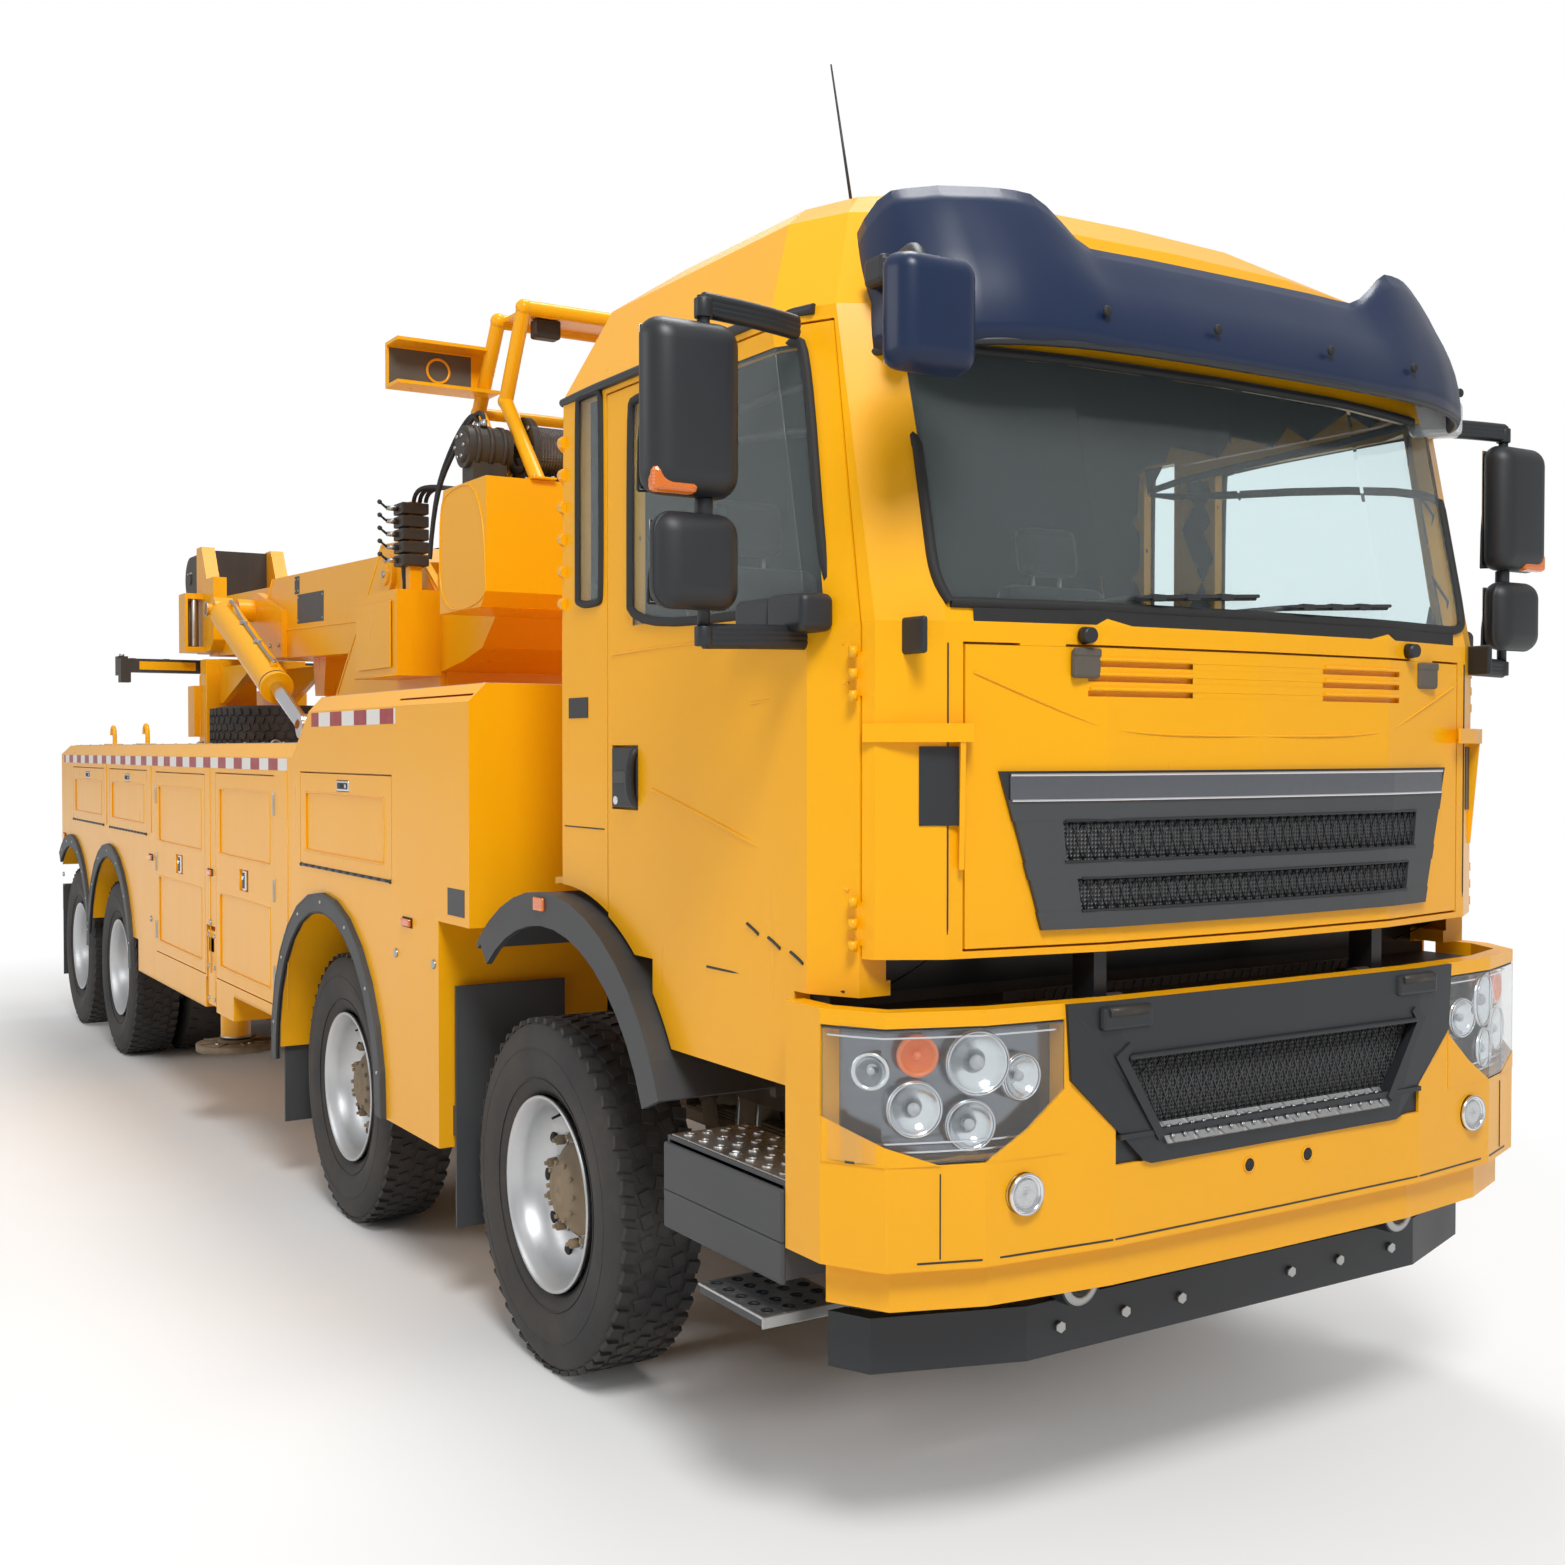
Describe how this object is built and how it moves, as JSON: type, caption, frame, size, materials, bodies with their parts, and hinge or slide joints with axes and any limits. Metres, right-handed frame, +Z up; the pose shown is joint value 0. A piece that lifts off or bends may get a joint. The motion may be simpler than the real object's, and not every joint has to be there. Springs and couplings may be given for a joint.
{
  "type": "heavy recovery truck",
  "caption": "Four-axle heavy tow truck with a slewing crane, folded underlift, tilting cab and locker body.",
  "frame": {"origin": "centre of the bounding box's foot, on the ground", "axes": "+X the truck's left, +Y its rear, +Z up"},
  "size_m": [3.2, 10.9, 3.831],
  "materials": {
    "body_yellow": "gloss",
    "chassis_black": "satin",
    "trim_grey": "matte",
    "visor_navy": "gloss",
    "tyre_black": "matte",
    "glass_dark": "gloss",
    "lamp_clear": "gloss",
    "step_aluminium": "satin",
    "seat_fabric": "matte",
    "rod_chrome": "polished",
    "cast_grey": "matte"
  },
  "bodies": {
    "truck": {"chassis_frame": "chassis_black", "axles": "cast_grey", "engine": "cast_grey", "bumper": "body_yellow", "lamps": "lamp_clear", "bumper_trim": "trim_grey", "entry_steps": "step_aluminium", "service_body": "body_yellow", "wheel_arch_trim": "trim_grey", "mast": "body_yellow", "spare_wheel": "tyre_black"},
    "steer_1_left": {"knuckle_1_left": "cast_grey"},
    "wheel_1_left": {"wheel_1_left": "tyre_black"},
    "steer_1_right": {"knuckle_1_right": "cast_grey"},
    "wheel_1_right": {"wheel_1_right": "tyre_black"},
    "steer_2_left": {"knuckle_2_left": "cast_grey"},
    "wheel_2_left": {"wheel_2_left": "tyre_black"},
    "steer_2_right": {"knuckle_2_right": "cast_grey"},
    "wheel_2_right": {"wheel_2_right": "tyre_black"},
    "wheel_3_left": {"wheel_3_left": "tyre_black"},
    "wheel_3_right": {"wheel_3_right": "tyre_black"},
    "wheel_4_left": {"wheel_4_left": "tyre_black"},
    "wheel_4_right": {"wheel_4_right": "tyre_black"},
    "cab": {"cab_shell": "body_yellow", "cab_glass": "glass_dark", "cab_visor": "visor_navy", "cab_interior": "seat_fabric", "cab_trim": "trim_grey"},
    "front_flap": {"front_panel": "body_yellow", "grille": "trim_grey"},
    "door_left": {"door_left": "body_yellow", "door_glass_left": "glass_dark", "mirrors_left": "trim_grey"},
    "door_right": {"door_right": "body_yellow", "door_glass_right": "glass_dark", "mirrors_right": "trim_grey"},
    "locker_a_left": {"locker_a_left": "body_yellow"},
    "locker_a_right": {"locker_a_right": "body_yellow"},
    "locker_b_left": {"locker_b_left": "body_yellow"},
    "locker_b_right": {"locker_b_right": "body_yellow"},
    "locker_c_left": {"locker_c_left": "body_yellow"},
    "locker_c_right": {"locker_c_right": "body_yellow"},
    "locker_d_left": {"locker_d_left": "body_yellow"},
    "locker_d_right": {"locker_d_right": "body_yellow"},
    "locker_e_left": {"locker_e_left": "body_yellow"},
    "locker_e_right": {"locker_e_right": "body_yellow"},
    "turret": {"turret": "body_yellow", "winches": "chassis_black"},
    "boom_outer": {"boom_outer": "body_yellow"},
    "boom_inner": {"boom_inner": "body_yellow", "sheave_head": "chassis_black"},
    "lift_barrels": {"lift_barrels": "body_yellow"},
    "lift_rods": {"lift_rods": "rod_chrome"},
    "lift_arm_outer": {"lift_arm_outer": "body_yellow"},
    "lift_arm_inner": {"lift_arm_inner": "body_yellow"},
    "crossbar": {"crossbar": "body_yellow"},
    "outrigger_beam_left": {"outrigger_beam_left": "body_yellow"},
    "outrigger_foot_left": {"outrigger_foot_left": "chassis_black"},
    "outrigger_beam_right": {"outrigger_beam_right": "body_yellow"},
    "outrigger_foot_right": {"outrigger_foot_right": "chassis_black"}
  },
  "joints": [
    {"name": "steer_1_left", "type": "hinge", "parent": "truck", "child": "steer_1_left", "pos_m": [0.9, -3.55, 0.542], "axis": [0, 0, 1], "range_deg": [-35, 35]},
    {"name": "roll_1_left", "type": "hinge", "parent": "steer_1_left", "child": "wheel_1_left", "pos_m": [1.03, -3.55, 0.542], "axis": [1, 0, 0], "continuous": true},
    {"name": "steer_1_right", "type": "hinge", "parent": "truck", "child": "steer_1_right", "pos_m": [-0.9, -3.55, 0.542], "axis": [0, 0, 1], "range_deg": [-35, 35]},
    {"name": "roll_1_right", "type": "hinge", "parent": "steer_1_right", "child": "wheel_1_right", "pos_m": [-1.03, -3.55, 0.542], "axis": [1, 0, 0], "continuous": true},
    {"name": "steer_2_left", "type": "hinge", "parent": "truck", "child": "steer_2_left", "pos_m": [0.9, -1.6, 0.542], "axis": [0, 0, 1], "range_deg": [-25.6, 25.6]},
    {"name": "roll_2_left", "type": "hinge", "parent": "steer_2_left", "child": "wheel_2_left", "pos_m": [1.03, -1.6, 0.542], "axis": [1, 0, 0], "continuous": true},
    {"name": "steer_2_right", "type": "hinge", "parent": "truck", "child": "steer_2_right", "pos_m": [-0.9, -1.6, 0.542], "axis": [0, 0, 1], "range_deg": [-25.6, 25.6]},
    {"name": "roll_2_right", "type": "hinge", "parent": "steer_2_right", "child": "wheel_2_right", "pos_m": [-1.03, -1.6, 0.542], "axis": [1, 0, 0], "continuous": true},
    {"name": "roll_3_left", "type": "hinge", "parent": "truck", "child": "wheel_3_left", "pos_m": [0.91, 2.85, 0.542], "axis": [1, 0, 0], "continuous": true},
    {"name": "roll_3_right", "type": "hinge", "parent": "truck", "child": "wheel_3_right", "pos_m": [-0.91, 2.85, 0.542], "axis": [1, 0, 0], "continuous": true},
    {"name": "roll_4_left", "type": "hinge", "parent": "truck", "child": "wheel_4_left", "pos_m": [0.91, 4.2, 0.542], "axis": [1, 0, 0], "continuous": true},
    {"name": "roll_4_right", "type": "hinge", "parent": "truck", "child": "wheel_4_right", "pos_m": [-0.91, 4.2, 0.542], "axis": [1, 0, 0], "continuous": true},
    {"name": "cab_tilt", "type": "hinge", "parent": "truck", "child": "cab", "pos_m": [0, -5.29, 1.29], "axis": [1, 0, 0], "range_deg": [0, 45]},
    {"name": "front_flap", "type": "hinge", "parent": "cab", "child": "front_flap", "pos_m": [0, -5.352, 2.15], "axis": [-1, 0, 0], "range_deg": [0, 75]},
    {"name": "door_left", "type": "hinge", "parent": "cab", "child": "door_left", "pos_m": [1.106, -5.144, 1.9], "axis": [0, 0, -1], "range_deg": [0, 70]},
    {"name": "door_right", "type": "hinge", "parent": "cab", "child": "door_right", "pos_m": [-1.106, -5.144, 1.9], "axis": [0, 0, 1], "range_deg": [0, 70]},
    {"name": "locker_a_left", "type": "hinge", "parent": "truck", "child": "locker_a_left", "pos_m": [1.25, 3.595, 1.425], "axis": [0, 1, 0], "range_deg": [0, 100]},
    {"name": "locker_a_right", "type": "hinge", "parent": "truck", "child": "locker_a_right", "pos_m": [-1.25, 3.595, 1.425], "axis": [0, -1, 0], "range_deg": [0, 100]},
    {"name": "locker_b_left", "type": "hinge", "parent": "truck", "child": "locker_b_left", "pos_m": [1.25, 2.3, 1.42], "axis": [0, 1, 0], "range_deg": [0, 100]},
    {"name": "locker_b_right", "type": "hinge", "parent": "truck", "child": "locker_b_right", "pos_m": [-1.25, 2.3, 1.42], "axis": [0, -1, 0], "range_deg": [0, 100]},
    {"name": "locker_c_left", "type": "hinge", "parent": "truck", "child": "locker_c_left", "pos_m": [1.25, 1.51, 1.2825], "axis": [0, 0, 1], "range_deg": [0, 100]},
    {"name": "locker_c_right", "type": "hinge", "parent": "truck", "child": "locker_c_right", "pos_m": [-1.25, 1.51, 1.2825], "axis": [0, 0, -1], "range_deg": [0, 100]},
    {"name": "locker_d_left", "type": "hinge", "parent": "truck", "child": "locker_d_left", "pos_m": [1.25, -0.89, 1.29], "axis": [0, 0, -1], "range_deg": [0, 100]},
    {"name": "locker_d_right", "type": "hinge", "parent": "truck", "child": "locker_d_right", "pos_m": [-1.25, -0.89, 1.29], "axis": [0, 0, 1], "range_deg": [0, 100]},
    {"name": "locker_e_left", "type": "hinge", "parent": "truck", "child": "locker_e_left", "pos_m": [1.25, -1.855, 1.427], "axis": [0, 1, 0], "range_deg": [0, 100]},
    {"name": "locker_e_right", "type": "hinge", "parent": "truck", "child": "locker_e_right", "pos_m": [-1.25, -1.855, 1.427], "axis": [0, -1, 0], "range_deg": [0, 100]},
    {"name": "slew", "type": "hinge", "parent": "truck", "child": "turret", "pos_m": [0, 0.1, 1.55], "axis": [0, 0, 1], "range_deg": [-150, 150]},
    {"name": "boom_lift", "type": "hinge", "parent": "turret", "child": "boom_outer", "pos_m": [0, 0.16, 2.81], "axis": [1, 0, 0], "range_deg": [0, 55]},
    {"name": "boom_extend", "type": "slide", "parent": "boom_outer", "child": "boom_inner", "axis": [0, 0.9997, 0.0262], "range_m": [0, 2.2]},
    {"name": "barrel_swing", "type": "hinge", "parent": "boom_outer", "child": "lift_barrels", "pos_m": [0, 3.1, 2.83], "axis": [1, 0, 0], "range_deg": [0, 3]},
    {"name": "rod_out", "type": "slide", "parent": "lift_barrels", "child": "lift_rods", "axis": [0, -0.9197, -0.3927], "range_m": [0, 1.24]},
    {"name": "underlift_fold", "type": "hinge", "parent": "truck", "child": "lift_arm_outer", "pos_m": [0, 4.7, 0.85], "axis": [-1, 0, 0], "range_deg": [0, 90]},
    {"name": "underlift_extend", "type": "slide", "parent": "lift_arm_outer", "child": "lift_arm_inner", "axis": [0, 0, 1], "range_m": [0, 0.6]},
    {"name": "crossbar_swivel", "type": "hinge", "parent": "lift_arm_inner", "child": "crossbar", "pos_m": [0, 4.75, 2.525], "axis": [0, 1, 0], "range_deg": [-20, 20]},
    {"name": "outrigger_out_left", "type": "slide", "parent": "truck", "child": "outrigger_beam_left", "axis": [1, 0, 0], "range_m": [0, 0.85]},
    {"name": "outrigger_down_left", "type": "slide", "parent": "outrigger_beam_left", "child": "outrigger_foot_left", "axis": [0, 0, -1], "range_m": [0, 0.4]},
    {"name": "outrigger_out_right", "type": "slide", "parent": "truck", "child": "outrigger_beam_right", "axis": [-1, 0, 0], "range_m": [0, 0.85]},
    {"name": "outrigger_down_right", "type": "slide", "parent": "outrigger_beam_right", "child": "outrigger_foot_right", "axis": [0, 0, -1], "range_m": [0, 0.4]}
  ],
  "couplings": [
    {"joint": "steer_1_right", "follows": "steer_1_left", "ratio": 1},
    {"joint": "steer_2_left", "follows": "steer_1_left", "ratio": 0.7314},
    {"joint": "steer_2_right", "follows": "steer_1_left", "ratio": 0.7314},
    {"joint": "barrel_swing", "follows": "boom_lift", "ratio": 0.05},
    {"joint": "rod_out", "follows": "boom_lift", "m_per_rad": 1.28},
    {"joint": "underlift_extend", "follows": "underlift_fold", "m_per_rad": 0.38}
  ]
}
